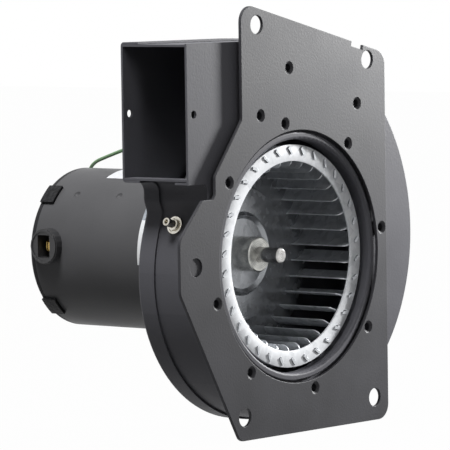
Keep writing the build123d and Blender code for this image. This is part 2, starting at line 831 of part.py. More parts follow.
# Pressure tap: nipple screwed through the wall, and its nut inside
with BuildPart() as pressure_tap:
    with BuildSketch(tap_plane):
        Circle(tap_flange_radius)
    extrude(amount=tap_flange_height)
    with BuildSketch(tap_plane.offset(tap_flange_height)):
        Circle(tap_collar_radius)
    extrude(amount=tap_collar_height)
    with BuildSketch(tap_plane):
        Circle(tap_tube_radius)
    extrude(amount=tap_height)
    with BuildSketch(tap_plane):
        Circle(tap_thread_radius)
    extrude(amount=-(sheet_thickness + tap_nut_height + tap_thread_proud))
    with BuildSketch(tap_plane.offset(tap_height)):
        Circle(tap_bore_radius)
    extrude(amount=-2 * tap_height, mode=Mode.SUBTRACT)

with BuildPart() as tap_nut:
    with BuildSketch(tap_plane.offset(-sheet_thickness)):
        RegularPolygon(tap_nut_width / 2, 6, major_radius=False)
        Circle(tap_thread_radius + press_clearance, mode=Mode.SUBTRACT)
    extrude(amount=-tap_nut_height)


# Bare labels wrapped round the shell
def shell_label(angles, span):
    far = 2 * motor_radius
    middle = (angles[0] + angles[1]) / 2
    half = radians((angles[1] - angles[0]) / 2)
    with BuildPart() as label:
        with BuildSketch(front_plane(span[0])):
            with Locations(Location((0, 0, 0), (0, 0, middle))):
                Polygon((0, 0), (far, -far * tan(half)), (far, far * tan(half)), align=None)
            Circle(motor_radius + fit_clearance + label_thickness, mode=Mode.INTERSECT)
            Circle(motor_radius + fit_clearance, mode=Mode.SUBTRACT)
        extrude(amount=-(span[1] - span[0]))
    return label


rating_label = shell_label(rating_label_angles, rating_label_span)
wiring_label = shell_label(wiring_label_angles, wiring_label_span)

# Ground lead: its ends leave the two ring terminals straight up and straight down
lead_start_z = motor_ground[1] + ring_to_barrel + barrel_length
lead_end_z = housing_ground[1] - ring_to_barrel - barrel_length
lead_points = [
    (motor_ground[0], motor_rear + barrel_radius, lead_start_z),
    (motor_ground[0], motor_rear + barrel_radius, 26.0),
    (16.5, 156.0, 37.0),
    (9.0, 148.5, 47.5),
    (-1.0, 130.0, 50.5),
    (-12.0, 109.0, 55.0),
    (-21.0, 86.0, 57.0),
    (housing_ground[0], 64.0, 60.0),
    (housing_ground[0], cover_back + barrel_radius, 70.0),
    (housing_ground[0], cover_back + barrel_radius, lead_end_z),
]


def lead_bends(points):
    """Largest tangent arcs that the runs on both sides of each point allow."""
    bends = []
    for before, corner, after in zip(points, points[1:], points[2:]):
        first = Vector(corner) - Vector(before)
        second = Vector(after) - Vector(corner)
        turn = radians(first.get_angle(second))
        bends.append(0.45 * min(first.length, second.length) / tan(turn / 2))
    return bends


with BuildPart() as ground_lead:
    with BuildLine() as lead_path:
        FilletPolyline(*lead_points, radius=lead_bends(lead_points))
    with BuildSketch(Plane.XY.offset(lead_start_z)):
        with Locations(lead_points[0][:2]):
            Circle(lead_radius)
    sweep(path=lead_path.wires()[0])

with BuildPart() as ground_terminals:
    for place, seat, up in ((motor_ground, motor_rear, 1), (housing_ground, cover_back, -1)):
        with BuildSketch(front_plane(seat)):
            with Locations(place):
                Circle(ring_terminal_radius)
            with Locations((place[0], place[1] + up * ring_to_barrel)):
                Rectangle(2 * barrel_radius, 2 * (ring_to_barrel - screw_radius))
            with Locations(place):
                Circle(screw_radius + fit_clearance, mode=Mode.SUBTRACT)
        extrude(amount=-ring_terminal_thickness)
        with BuildSketch(Plane.XY.offset(place[1] + up * ring_to_barrel)):
            with Locations((place[0], seat + barrel_radius)):
                Circle(barrel_radius)
        extrude(amount=up * barrel_length)

with BuildPart() as ground_screws:
    for place, seat in ((motor_ground, motor_rear), (housing_ground, cover_back)):
        with BuildSketch(front_plane(seat + ring_terminal_thickness)):
            with Locations(place):
                Circle(screw_head_radius)
        extrude(amount=-screw_head_height)
        with BuildSketch(front_plane(seat + ring_terminal_thickness)):
            with Locations(place):
                Circle(screw_radius - fit_clearance)
        extrude(amount=screw_reach + ring_terminal_thickness)
        with BuildSketch(front_plane(seat + ring_terminal_thickness + screw_head_height)):
            with Locations(place):
                Rectangle(2 * screw_head_radius, screw_slot_width)
        extrude(amount=screw_slot_depth, mode=Mode.SUBTRACT)

# Files: one for each named piece
pieces = {
    "mounting_plate": mounting_plate,
    "inlet_sheet": inlet_sheet,
    "scroll_wrap": scroll_wrap,
    "back_cover": back_cover,
    "wheel_front_ring": wheel_front_ring,
    "wheel_blades": wheel_blades,
    "wheel_back_disc": wheel_back_disc,
    "wheel_hub": wheel_hub,
    "hub_set_screw": hub_set_screw,
    "shaft": shaft,
    "cooling_disc": cooling_disc,
    "motor_shell": motor_shell,
    "motor_front_shield": motor_front_shield,
    "motor_end_cap": motor_end_cap,
    "front_bearing": front_bearing,
    "rear_bearing": rear_bearing,
    "thrust_washers": thrust_washers,
    "stator_core": stator_core,
    "stator_coils": stator_coils,
    "rotor_core": rotor_core,
    "rotor_cage": rotor_cage,
    "through_bolts": through_bolts,
    "mount_nuts": mount_nuts,
    "mount_spacers": mount_spacers,
    "power_socket": power_socket,
    "power_terminals": power_terminals,
    "pressure_tap": pressure_tap,
    "tap_nut": tap_nut,
    "rating_label": rating_label,
    "wiring_label": wiring_label,
    "ground_lead": ground_lead,
    "ground_terminals": ground_terminals,
    "ground_screws": ground_screws,
}
os.makedirs("parts", exist_ok=True)
for name, piece in pieces.items():
    piece.part.label = name
    export_step(piece.part, f"parts/{name}.step")

run_length = ground_lead.part.volume / (pi * lead_radius**2)
print("ground lead length", round(run_length, 1))
print("ground lead bends", [round(bend, 1) for bend in lead_bends(lead_points)])
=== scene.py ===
import json
from math import cos, pi, radians, sin

import bmesh
import bpy
from mathutils import Matrix, Quaternion, Vector


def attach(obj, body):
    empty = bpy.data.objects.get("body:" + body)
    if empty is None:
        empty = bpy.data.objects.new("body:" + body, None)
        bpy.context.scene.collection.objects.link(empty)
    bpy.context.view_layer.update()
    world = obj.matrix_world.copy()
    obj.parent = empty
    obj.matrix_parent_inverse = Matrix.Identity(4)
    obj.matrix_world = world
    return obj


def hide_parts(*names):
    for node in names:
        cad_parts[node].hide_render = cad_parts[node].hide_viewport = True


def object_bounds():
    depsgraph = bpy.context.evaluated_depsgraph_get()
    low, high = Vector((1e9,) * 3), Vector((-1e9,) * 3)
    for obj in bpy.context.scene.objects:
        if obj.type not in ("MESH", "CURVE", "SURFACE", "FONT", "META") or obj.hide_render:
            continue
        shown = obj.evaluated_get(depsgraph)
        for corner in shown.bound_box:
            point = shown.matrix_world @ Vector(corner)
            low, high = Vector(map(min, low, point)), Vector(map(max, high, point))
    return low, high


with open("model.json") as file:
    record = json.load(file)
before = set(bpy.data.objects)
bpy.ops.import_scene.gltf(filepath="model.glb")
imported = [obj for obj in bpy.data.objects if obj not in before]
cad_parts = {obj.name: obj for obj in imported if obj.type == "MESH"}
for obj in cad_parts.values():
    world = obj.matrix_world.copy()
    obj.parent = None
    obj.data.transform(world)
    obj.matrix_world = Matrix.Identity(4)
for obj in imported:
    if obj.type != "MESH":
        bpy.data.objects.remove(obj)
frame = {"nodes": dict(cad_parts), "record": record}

# Centrifugal blower: black painted sheet-metal housing, bright wheel, black motor behind it.
# Most nodes keep their shapes and get their finishes here. The wheel's front ring, the through bolts
# and ground screws, the socket and its contacts, the pressure tap and the ground lead are modelled
# again in more detail. The numbers of the pieces are millimetres, as in the part's source, and MM
# turns them to metres.
MM = 0.001
cad_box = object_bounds()
nodes = frame["nodes"]
# Directions along the shaft: backwards is towards the motor
BACKWARDS = Vector((0, 1, 0))
FORWARDS = Vector((0, -1, 0))


# Camera, at the photograph's viewing angle
CAMERA_AZIMUTH = -50.24
CAMERA_ELEVATION = 3.92
CAMERA_ROLL = -0.83
CAMERA_PLACE = Vector((-1.5560108, -1.2447634, 0.1531673))
CAMERA_LENS = 313.19

azimuth = radians(CAMERA_AZIMUTH)
elevation = radians(CAMERA_ELEVATION)
look = Vector((-sin(azimuth) * cos(elevation), cos(azimuth) * cos(elevation), -sin(elevation)))
bpy.ops.object.camera_add(location=CAMERA_PLACE)
camera = bpy.context.object
camera.name = "photo_camera"
camera.rotation_mode = "QUATERNION"
camera.rotation_quaternion = look.to_track_quat("-Z", "Y") @ Quaternion((0, 0, 1), radians(CAMERA_ROLL))
camera.data.lens = CAMERA_LENS
camera.data.sensor_width = 36
camera.data.clip_start = 0.1
camera.data.clip_end = 30
bpy.context.scene.camera = camera


# Material helpers
def colour(text):
    """sRGB hex text as a linear colour."""
    channels = []
    for i in (1, 3, 5):
        value = int(text[i:i + 2], 16) / 255
        channels.append(value / 12.92 if value <= 0.04045 else ((value + 0.055) / 1.055) ** 2.4)
    return (*channels, 1.0)


def add_node(material, kind, settings=None, **inputs):
    """A node with its settings; an input is a value or another node's output, by name or as _number."""
    node = material.node_tree.nodes.new(kind)
    for name, value in (settings or {}).items():
        setattr(node, name, value)
    for name, value in inputs.items():
        socket = node.inputs[int(name[1:])] if name[1:].isdigit() else node.inputs[name.replace("_", " ")]
        if isinstance(value, bpy.types.NodeSocket):
            material.node_tree.links.new(value, socket)
        else:
            socket.default_value = value
    return node


def new_material(name, base, **shader):
    """A material with its shader set: base colour in hex, then the shader's own sockets."""
    material = bpy.data.materials.new(name)
    material.use_nodes = True
    surface = material.node_tree.nodes["Principled BSDF"]
    surface.inputs["Base Color"].default_value = colour(base)
    for socket, value in shader.items():
        surface.inputs[socket.replace("_", " ")].default_value = value
    material.diffuse_color = colour(base)
    return material, surface


def link_surface(material, surface, tint, roughness, normal):
    """Links a surface's colour, roughness and normal."""
    for value, socket in ((tint, "Base Color"), (roughness, "Roughness"), (normal, "Normal")):
        material.node_tree.links.new(value, surface.inputs[socket])


def wave_scale(pitch):
    """The scale that draws a wave texture's bands or rings a pitch apart."""
    return pi / (10 * pitch)


# CORNER is the radius to which shading rounds the edges. CLOUD, SMEAR and STAIN are the widths of the
# patches that handling leaves on paint, on zinc and on turned metal. TOOL_MARKS is the pitch of the rings.
CORNER = 0.3 * MM
CLOUD = 35 * MM
SMEAR = 8 * MM
STAIN = 4 * MM
TOOL_MARKS = 1.0 * MM
COLOUR_MIX = {"data_type": "RGBA"}
BEVEL_SAMPLES = {"samples": 4}


# Powder coat, baked on sheet steel: satin, with an orange peel about a millimetre wide that breaks
# up the highlights, and faint cloudy patches where it was handled. Its shine is low, so that the
# white room hardly lifts the black.
def powder_coat(name, base, handled, gloss, shine=0.13, peel=1.1 * MM, depth=0.06 * MM):
    material, surface = new_material(name, base, Roughness=gloss, Specular_IOR_Level=shine)
    place = add_node(material, "ShaderNodeTexCoord").outputs["Object"]
    skin = add_node(material, "ShaderNodeTexNoise", Vector=place, Scale=1 / peel, Detail=3.0)
    cloud = add_node(material, "ShaderNodeTexNoise", Vector=place, Scale=1 / CLOUD, Detail=4.0)
    share = add_node(material, "ShaderNodeMapRange", Value=cloud.outputs[0], From_Min=0.3, From_Max=0.7)
    tint = add_node(material, "ShaderNodeMix", COLOUR_MIX, _0=share.outputs[0],
                    _6=colour(base), _7=colour(handled))
    rough = add_node(material, "ShaderNodeMapRange", Value=cloud.outputs[0], From_Min=0.3, From_Max=0.7,
                     To_Min=gloss - 0.04, To_Max=gloss + 0.06)
    corner = add_node(material, "ShaderNodeBevel", BEVEL_SAMPLES, Radius=CORNER)
    bump = add_node(material, "ShaderNodeBump", Height=skin.outputs[0], Distance=depth,
                    Normal=corner.outputs[0])
    link_surface(material, surface, tint.outputs[2], rough.outputs[0], bump.outputs[0])
    return material


# Galvanised steel: zinc crystals a few millimetres wide in slightly different greys, with a satin
# shine that changes from crystal to crystal. Its metallic share falls as the zinc dulls.
def galvanised(name, base, dull, gloss, metallic, spangle=3.0 * MM):
    material, surface = new_material(name, base, Metallic=metallic, Roughness=gloss)
    place = add_node(material, "ShaderNodeTexCoord").outputs["Object"]
    crystals = add_node(material, "ShaderNodeTexVoronoi", Vector=place, Scale=1 / spangle, Randomness=1.0)
    grey = add_node(material, "ShaderNodeSeparateColor", Color=crystals.outputs["Color"])
    cloud = add_node(material, "ShaderNodeTexNoise", Vector=place, Scale=1 / SMEAR, Detail=3.0)
    mixed = add_node(material, "ShaderNodeMath", {"operation": "MULTIPLY"}, _0=grey.outputs[0],
                     _1=cloud.outputs[0])
    share = add_node(material, "ShaderNodeMapRange", Value=mixed.outputs[0], From_Min=0.0, From_Max=0.6)
    tint = add_node(material, "ShaderNodeMix", COLOUR_MIX, _0=share.outputs[0],
                    _6=colour(base), _7=colour(dull))
    rough = add_node(material, "ShaderNodeMapRange", Value=grey.outputs[0], To_Min=gloss - 0.06,
                     To_Max=gloss + 0.08)
    corner = add_node(material, "ShaderNodeBevel", BEVEL_SAMPLES, Radius=CORNER / 2)
    bump = add_node(material, "ShaderNodeBump", Height=cloud.outputs[0], Distance=0.05 * MM,
                    Normal=corner.outputs[0])
    link_surface(material, surface, tint.outputs[2], rough.outputs[0], bump.outputs[0])
    return material


# Bar steel or brass turned on a lathe, bare or plated: fine tool marks, in rings about the shaft's
# axis and so in arcs on a piece beside it. The real feed is near 0.1 mm; the rings are drawn 1 mm
# apart so that they show.
def turned_metal(name, base, dull, gloss, axis="Y", metallic=1.0):
    material, surface = new_material(name, base, Metallic=metallic, Roughness=gloss)
    place = add_node(material, "ShaderNodeTexCoord").outputs["Object"]
    feed = add_node(material, "ShaderNodeTexWave", {"wave_type": "RINGS", "rings_direction": axis},
                    Vector=place, Scale=wave_scale(TOOL_MARKS), Distortion=0.8, Detail=1.0)
    cloud = add_node(material, "ShaderNodeTexNoise", Vector=place, Scale=1 / STAIN, Detail=4.0)
    share = add_node(material, "ShaderNodeMapRange", Value=cloud.outputs[0], From_Min=0.35, From_Max=0.65)
    tint = add_node(material, "ShaderNodeMix", COLOUR_MIX, _0=share.outputs[0],
                    _6=colour(base), _7=colour(dull))
    rough = add_node(material, "ShaderNodeMapRange", Value=feed.outputs["Fac"], To_Min=gloss - 0.05,
                     To_Max=gloss + 0.08)
    corner = add_node(material, "ShaderNodeBevel", BEVEL_SAMPLES, Radius=CORNER / 2)
    bump = add_node(material, "ShaderNodeBump", Height=feed.outputs["Fac"], Distance=0.02 * MM,
                    Normal=corner.outputs[0])
    link_surface(material, surface, tint.outputs[2], rough.outputs[0], bump.outputs[0])
    return material


# A surface with one fine grain in its colour, gloss and height: mouldings, castings, pressings and
# fibre, each with the grain width and depth of its own making.
def grained(name, base, other, gloss, grain, depth, **shader):
    material, surface = new_material(name, base, Roughness=gloss, **shader)
    place = add_node(material, "ShaderNodeTexCoord").outputs["Object"]
    skin = add_node(material, "ShaderNodeTexNoise", Vector=place, Scale=1 / grain, Detail=3.0)
    share = add_node(material, "ShaderNodeMapRange", Value=skin.outputs[0], From_Min=0.3, From_Max=0.7)
    tint = add_node(material, "ShaderNodeMix", COLOUR_MIX, _0=share.outputs[0],
                    _6=colour(base), _7=colour(other))
    rough = add_node(material, "ShaderNodeMapRange", Value=skin.outputs[0], From_Min=0.3, From_Max=0.7,
                     To_Min=gloss - 0.05, To_Max=gloss + 0.08)
    corner = add_node(material, "ShaderNodeBevel", BEVEL_SAMPLES, Radius=CORNER / 2)
    bump = add_node(material, "ShaderNodeBump", Height=skin.outputs[0], Distance=depth,
                    Normal=corner.outputs[0])
    link_surface(material, surface, tint.outputs[2], rough.outputs[0], bump.outputs[0])
    return material


# Layers seen from their edge, or wires wound side by side: bands along one axis, a pitch apart, with dark and
# duller gaps.
# # Between layers the dark is a joint; between wires it is painted shade in the crevice.
def banded(name, base, dark_joint_or_crevice_shade, gloss, axis, pitch, depth, **shader):
    material, surface = new_material(name, base, Roughness=gloss, **shader)
    place = add_node(material, "ShaderNodeTexCoord").outputs["Object"]
    bands = add_node(material, "ShaderNodeTexWave", {"wave_type": "BANDS", "bands_direction": axis},
                     Vector=place, Scale=wave_scale(pitch), Distortion=0.6, Detail=1.0)
    tint = add_node(material, "ShaderNodeMix", COLOUR_MIX, _0=bands.outputs["Fac"],
                    _6=colour(dark_joint_or_crevice_shade), _7=colour(base))
    rough = add_node(material, "ShaderNodeMapRange", Value=bands.outputs["Fac"], To_Min=gloss + 0.15,
                     To_Max=gloss)
    bump = add_node(material, "ShaderNodeBump", Height=bands.outputs["Fac"], Distance=depth)
    link_surface(material, surface, tint.outputs[2], rough.outputs[0], bump.outputs[0])
    return material


# Paint sprayed on the pressed end cap: satin, with a fine grain. Its lugs, which stand outside the shell,
# were
# # hammered down, so there the grain is nearly twice as wide and deep enough to show as specks. The lugs'
# colour is
# # also drawn darker than the cap's. The lugs' finish fades in between LUG_START and LUG_FULL outside the
# shell,
# # and the grain's depths are in millimetres.
SHELL_RADIUS = 41.9
LUG_START = 0.3
LUG_FULL = 0.7
CAP_GRAIN = 0.9 * MM
LUG_GRAIN = 1.6 * MM
CAP_GRAIN_DEPTH = 0.05
LUG_GRAIN_DEPTH = 0.55


def end_cap_coat(name, base, lug, gloss):
    material, surface = new_material(name, base, Roughness=gloss, Specular_IOR_Level=0.1)
    place = add_node(material, "ShaderNodeTexCoord").outputs["Object"]
    apart = add_node(material, "ShaderNodeSeparateXYZ", Vector=place)
    across = add_node(material, "ShaderNodeCombineXYZ", X=apart.outputs["X"], Z=apart.outputs["Z"])
    radius = add_node(material, "ShaderNodeVectorMath", {"operation": "LENGTH"}, _0=across.outputs[0])
    on_lug = add_node(material, "ShaderNodeMapRange", Value=radius.outputs["Value"],
                      From_Min=(SHELL_RADIUS + LUG_START) * MM, From_Max=(SHELL_RADIUS + LUG_FULL) * MM)
    fine = add_node(material, "ShaderNodeTexNoise", Vector=place, Scale=1 / CAP_GRAIN, Detail=3.0)
    coarse = add_node(material, "ShaderNodeTexNoise", Vector=place, Scale=1 / LUG_GRAIN, Detail=4.0)
    skin = add_node(material, "ShaderNodeMix", _0=on_lug.outputs[0], _2=fine.outputs[0], _3=coarse.outputs[0])
    speck = add_node(material, "ShaderNodeMapRange", Value=coarse.outputs[0], From_Min=0.35, From_Max=0.65)
    lug_tint = add_node(material, "ShaderNodeMix", COLOUR_MIX, _0=speck.outputs[0],
                        _6=colour(lug), _7=colour(base))
    tint = add_node(material, "ShaderNodeMix", COLOUR_MIX, _0=on_lug.outputs[0],
                    _6=colour(base), _7=lug_tint.outputs[2])
    rough = add_node(material, "ShaderNodeMapRange", Value=skin.outputs[0], To_Min=gloss - 0.06,
                     To_Max=gloss + 0.08)
    height = add_node(material, "ShaderNodeMapRange", Value=on_lug.outputs[0], To_Min=CAP_GRAIN_DEPTH,
                      To_Max=LUG_GRAIN_DEPTH)
    corner = add_node(material, "ShaderNodeBevel", BEVEL_SAMPLES, Radius=CORNER)
    raised = add_node(material, "ShaderNodeMath", {"operation": "MULTIPLY"}, _0=skin.outputs[0],
                      _1=height.outputs[0])
    bump = add_node(material, "ShaderNodeBump", Height=raised.outputs[0], Distance=MM,
                    Normal=corner.outputs[0])
    link_surface(material, surface, tint.outputs[2], rough.outputs[0], bump.outputs[0])
    return material


# Foil label: silver film with a slight mottle, and a plain white printed panel below panel_top
FOIL_MOTTLE = 1.5 * MM


def foil_label(name, base, other, panel, gloss, panel_top):
    material, surface = new_material(name, base, Roughness=gloss)
    place = add_node(material, "ShaderNodeTexCoord").outputs["Object"]
    apart = add_node(material, "ShaderNodeSeparateXYZ", Vector=place)
    mottle = add_node(material, "ShaderNodeTexNoise", Vector=place, Scale=1 / FOIL_MOTTLE, Detail=2.0)
    share = add_node(material, "ShaderNodeMapRange", Value=mottle.outputs[0], From_Min=0.35, From_Max=0.65)
    silver = add_node(material, "ShaderNodeMix", COLOUR_MIX, _0=share.outputs[0],
                      _6=colour(base), _7=colour(other))
    below = add_node(material, "ShaderNodeMath", {"operation": "LESS_THAN"}, _0=apart.outputs["Z"],
                     _1=panel_top)
    tint = add_node(material, "ShaderNodeMix", COLOUR_MIX, _0=below.outputs[0],
                    _6=silver.outputs[2], _7=colour(panel))
    rough = add_node(material, "ShaderNodeMapRange", Value=mottle.outputs[0], To_Min=gloss - 0.05,
                     To_Max=gloss + 0.1)
    bump = add_node(material, "ShaderNodeBump", Height=mottle.outputs[0], Distance=0.02 * MM)
    link_surface(material, surface, tint.outputs[2], rough.outputs[0], bump.outputs[0])
    return material


# Powder coat on the punched plate, and a slightly greyer one on the housing's sheets
plate_coat = powder_coat("powder_coated_plate", "#37373a", "#3e3e42", 0.5, shine=0.18)
sheet_coat = powder_coat("powder_coated_housing_sheet", "#56565b", "#5d5d62", 0.5)
# Wet paint sprayed on the rolled shell: a wider, softer ripple than the powder coat
shell_paint = powder_coat("sprayed_motor_shell_paint", "#525254", "#59595b", 0.42, shine=0.12, peel=1.6 * MM,
                          depth=0.05 * MM)
cap_paint = end_cap_coat("sprayed_end_cap_paint", "#2c2c2e", "#161617", 0.5)
# Ring, disc and blades, all of one galvanised sheet: the ring keeps the zinc's light grey and scatters light
# almost
# # as matt white does. The disc is drawn darker, as painted shade of the wheel's inside, and mirrors the
# most. The
# # blades' grey lies between the two and is a lighter painted shade.
ring_zinc = galvanised("bright_galvanised_ring", "#e9ebee", "#cfd2d6", 0.5, 0.02)
wheel_zinc_painted_shade = galvanised("galvanised_sheet_painted_shade", "#abaeb2", "#a3a6aa", 0.22, 0.6)
blade_zinc_painted_shade = galvanised("rolled_galvanised_blade_strip_painted_shade", "#cdd0d4", "#acafb3", 0.35, 0.3)
# Rolled aluminium as it left the mill: silvery, in large faint patches
fan_aluminium = galvanised("mill_finish_aluminium", "#d4d6d8", "#c2c4c7", 0.36, 1.0, 5 * MM)
# Electroplated zinc, passivated: bright and slightly yellow
zinc_plate = turned_metal("zinc_plated_steel", "#cfcfca", "#a3a4a1", 0.3, metallic=0.85)
# Steel shaft, ground: neutral grey and smoother than the plated parts
shaft_steel = turned_metal("ground_shaft_steel", "#c6c5c3", "#8f8e8c", 0.25, metallic=0.9)
# Nickel on brass: almost a mirror, warm grey. Its tool marks run about X, nearly the tap's own axis.
nickel = turned_metal("nickel_plated_brass", "#dedbd3", "#b9b4a9", 0.16, "X")
# Black oxide on a hardened screw: nearly black, with a little oil shine
black_oxide = grained("black_oxide_screw_steel", "#1c1c1e", "#26262a", 0.4, 0.8 * MM, 0.02 * MM,
                      Metallic=0.6)
# Pressed and sintered bronze powder: matt, with open pores
bronze = grained("sintered_bronze", "#8d6a3c", "#7a5a32", 0.5, 0.5 * MM, 0.05 * MM, Metallic=0.9)
# Punched vulcanised fibre: matt brown, with short fibres that show as flecks
fibre = grained("punched_vulcanised_fibre", "#6d4a33", "#5b3c29", 0.75, 0.6 * MM, 0.05 * MM)
# Stacked punchings 0.5 mm thick, dipped in varnish; two are drawn as one layer so that they show
laminations = banded("varnished_laminations", "#3c3d41", "#232427", 0.45, "Y", 1.0 * MM, 0.08 * MM,
                     Metallic=0.7)
# Enamelled copper wire 0.5 mm thick, wound side by side; drawn 0.9 mm thick so that it shows. The dark brown
# between the wires is painted shade
windings = banded("enamelled_copper_wire", "#b0602f", "#4c2110", 0.35, "Z", 0.9 * MM, 0.2 * MM,
                  Metallic=0.8)
# Die-cast aluminium of the rotor's end rings: grey, with a coarse cast skin
cast_aluminium = grained("die_cast_aluminium", "#b9babb", "#a3a4a6", 0.5, 1.0 * MM, 0.08 * MM,
                         Metallic=1.0)
# Glass-filled nylon, injection moulded: a fine spark-eroded grain and a soft sheen
nylon = grained("moulded_glass_filled_nylon", "#262628", "#2f2f31", 0.45, 0.7 * MM, 0.05 * MM, IOR=1.53)
# Stamped brass of the contacts: smooth from rolling, yellow
brass = grained("stamped_brass", "#e2c27a", "#cfae63", 0.25, 1.2 * MM, 0.01 * MM, Metallic=0.9)
# Tin over brass: soft white metal with slight smears
tin = grained("tinned_brass", "#c9c9c3", "#b1b1aa", 0.3, 1.5 * MM, 0.03 * MM, Metallic=1.0)
# Extruded PVC insulation: even green, low sheen, faint mottle
pvc = grained("extruded_green_pvc", "#5f8f55", "#54824b", 0.4, 2.0 * MM, 0.02 * MM, IOR=1.53)
# Coated paper: white, matt, with a faint fibre cloud
paper_label = grained("coated_paper_label", "#e6e7ea", "#dcdde1", 0.55, 2.0 * MM, 0.01 * MM)
# Metallised film: pale blue-grey; its white panel starts 18.5 mm above the shaft and goes down
foil = foil_label("silver_foil_label", "#a9afb6", "#8d949c", "#eceef0", 0.4, 18.5 * MM)

slot_finishes = {
    "black_plate": plate_coat, "black_sheet": sheet_coat, "black_shell": shell_paint,
    "galvanised_ring": ring_zinc, "galvanised_steel": wheel_zinc_painted_shade, "zinc_plate": zinc_plate,
    "black_oxide_steel": black_oxide, "ground_steel": shaft_steel, "aluminium_sheet": fan_aluminium,
    "sintered_bronze": bronze, "fibre": fibre, "electrical_steel": laminations,
    "copper_winding": windings, "cast_aluminium": cast_aluminium, "black_nylon": nylon,
    "brass_contact": brass, "nickel_plate": nickel, "foil_label": foil, "white_label": paper_label,
    "green_pvc": pvc, "tinned_brass": tin,
}
for subpart in frame["record"]["subparts"]:
    node = nodes[subpart["node"]]
    node.data.materials.clear()
    node.data.materials.append(slot_finishes[subpart["material_slot"]])
# The end cap and the blades share a slot with other nodes and have their own finish; the blades' is their
# zinc in a tone of painted shade
nodes["motor_end_cap"].data.materials[0] = cap_paint
nodes["wheel_blades"].data.materials[0] = blade_zinc_painted_shade


# Ground lead: one green wire from the motor's end cap to a screw on the back cover, by the control
# points of its curve
LEAD_DIAMETER = 1.9 * MM
lead_points = [
    (18.0, 150.6, 17.0), (18.0, 150.6, 26.0), (12.5, 156.0, 36.0), (9.5, 149.5, 44.0),
    (1.0, 130.5, 48.5), (-10.0, 109.0, 53.0), (-20.0, 87.0, 57.0), (-24.0, 65.0, 60.0),
    (-24.0, 48.2, 70.0), (-24.0, 48.2, 84.0),
]
lead_curve = bpy.data.curves.new("green_lead", "CURVE")
lead_curve.dimensions = "3D"
spline = lead_curve.splines.new("NURBS")
spline.points.add(len(lead_points) - 1)
for control, point in zip(spline.points, lead_points):
    control.co = (*(Vector(point) * MM), 1.0)
spline.order_u = 3
spline.use_endpoint_u = True
spline.resolution_u = 12
lead_curve.bevel_depth = LEAD_DIAMETER / 2
lead_curve.bevel_resolution = 4
lead_curve.use_fill_caps = True
green_lead = bpy.data.objects.new("green_lead", lead_curve)
bpy.context.collection.objects.link(green_lead)
green_lead.data.materials.append(pvc)
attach(green_lead, "housing")
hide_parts("ground_lead")


# Modelling helpers. A face or edge is found by its place within NEAR and its normal within FLAT.
NEAR = 0.01 * MM
FLAT = 0.99


def only(piece):
    """Only this piece selected and active."""
    bpy.ops.object.select_all(action="DESELECT")
    piece.select_set(True)
    bpy.context.view_layer.objects.active = piece


def settle(piece, name):
    """Names a new primitive and moves its place into its mesh."""
    piece.name = name
    piece.data.name = name
    only(piece)
    bpy.ops.object.transform_apply(location=True, rotation=True, scale=True)
    return piece


def add_bar(name, base, axis, radius, length, sides=48):
    """A round or many-sided bar that stands on base along axis."""
    bpy.ops.mesh.primitive_cylinder_add(vertices=sides, radius=radius * MM, depth=length * MM,
                                        location=(Vector(base) + axis * length / 2) * MM,
                                        rotation=axis.to_track_quat("Z", "Y").to_euler())
    return settle(bpy.context.object, name)


def add_block(name, centre, size):
    """A block with its edges along the axes."""
    bpy.ops.mesh.primitive_cube_add(size=1, location=Vector(centre) * MM, scale=Vector(size) * MM)
    return settle(bpy.context.object, name)


def select_end(piece, axis):
    """In edit mode: only the faces at the piece's end along axis are selected."""
    mesh = bmesh.from_edit_mesh(piece.data)
    reach = max(vertex.co.dot(axis) for vertex in mesh.verts)
    for face in mesh.faces:
        at_end = face.calc_center_median().dot(axis) > reach - NEAR
        face.select_set(at_end and face.normal.dot(axis) > FLAT)
    bmesh.update_edit_mesh(piece.data)


def turn_steps(piece, axis, steps):
    """Works the end face along axis: each step is an inset (below 0 it grows) and then a push."""
    only(piece)
    bpy.ops.object.mode_set(mode="EDIT")
    bpy.ops.mesh.select_mode(type="FACE")
    bpy.ops.mesh.select_all(action="DESELECT")
    select_end(piece, axis)
    for inset, push in steps:
        if inset > 0:
            bpy.ops.mesh.inset(thickness=inset * MM)
        elif inset < 0:
            rim = [vertex.co for vertex in bmesh.from_edit_mesh(piece.data).verts if vertex.select]
            middle = sum(rim, Vector()) / len(rim)
            grown = 1 - inset * MM / (rim[0] - middle).length
            bpy.ops.mesh.extrude_region_move(TRANSFORM_OT_translate={"value": (0, 0, 0)})
            bpy.ops.transform.resize(value=(grown, grown, grown), center_override=middle)
        if push:
            bpy.ops.mesh.extrude_region_move(TRANSFORM_OT_translate={"value": axis * push * MM})
    bpy.ops.object.mode_set(mode="OBJECT")


def apply_bevel(piece, width, segments=2, limit=30):
    """Rounds the edges that are sharper than limit, in degrees."""
    only(piece)
    bevel = piece.modifiers.new("edge_bevel", "BEVEL")
    bevel.width = width * MM
    bevel.segments = segments
    bevel.limit_method = "ANGLE"
    bevel.angle_limit = radians(limit)
    bpy.ops.object.modifier_apply(modifier=bevel.name)


def cut_with(piece, cutter):
    """Cuts the cutter's shape out of the piece, and removes the cutter."""
    only(piece)
    cut = piece.modifiers.new("cut", "BOOLEAN")
    cut.operation = "DIFFERENCE"
    cut.solver = "EXACT"
    cut.object = cutter
    bpy.ops.object.modifier_apply(modifier=cut.name)
    bpy.data.objects.remove(cutter)


def join_all(pieces):
    """Joins the pieces to the first one."""
    only(pieces[0])
    for piece in pieces[1:]:
        piece.select_set(True)
    bpy.ops.object.join()
    return pieces[0]


def copies_around(piece, count):
    """The piece and its copies, evenly spaced about the shaft's axis, joined to one mesh."""
    pieces = [piece]
    for i in range(1, count):
        copy = piece.copy()
        copy.data = piece.data.copy()
        copy.data.transform(Matrix.Rotation(2 * pi * i / count, 4, "Y"))
        bpy.context.collection.objects.link(copy)
        pieces.append(copy)
    return join_all(pieces)


